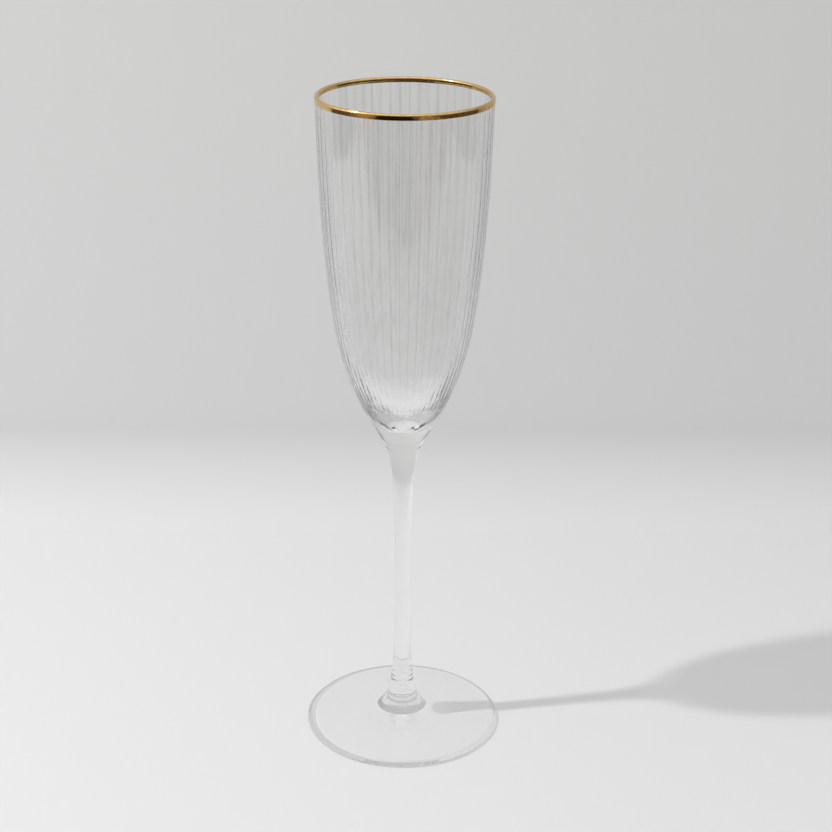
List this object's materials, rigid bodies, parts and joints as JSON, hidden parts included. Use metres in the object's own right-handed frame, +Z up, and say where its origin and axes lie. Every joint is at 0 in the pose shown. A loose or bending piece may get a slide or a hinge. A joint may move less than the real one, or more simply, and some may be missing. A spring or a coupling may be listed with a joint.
{
  "type": "champagne flute",
  "caption": "Tall stemmed flute with a slim ribbed glass bowl, a drawn stem, a round foot and a fired gold band on the lip.",
  "frame": {"origin": "centre of the foot's bearing ring, on the surface the glass stands on", "axes": "+Z up along the axis of the glass, from the foot to the lip; +X and +Y are any two square directions, because the glass is round"},
  "size_m": [0.072, 0.072, 0.24],
  "materials": {
    "bowl_glass": "clear, fire polished, fine optic ribs inside",
    "stem_glass": "clear, fire polished",
    "foot_glass": "clear, pressed and fire polished",
    "gold": "bright fired gold"
  },
  "bodies": {
    "root": {"bowl": "bowl_glass", "stem": "stem_glass", "foot": "foot_glass", "gold_rim": "gold"}
  },
  "joints": []
}
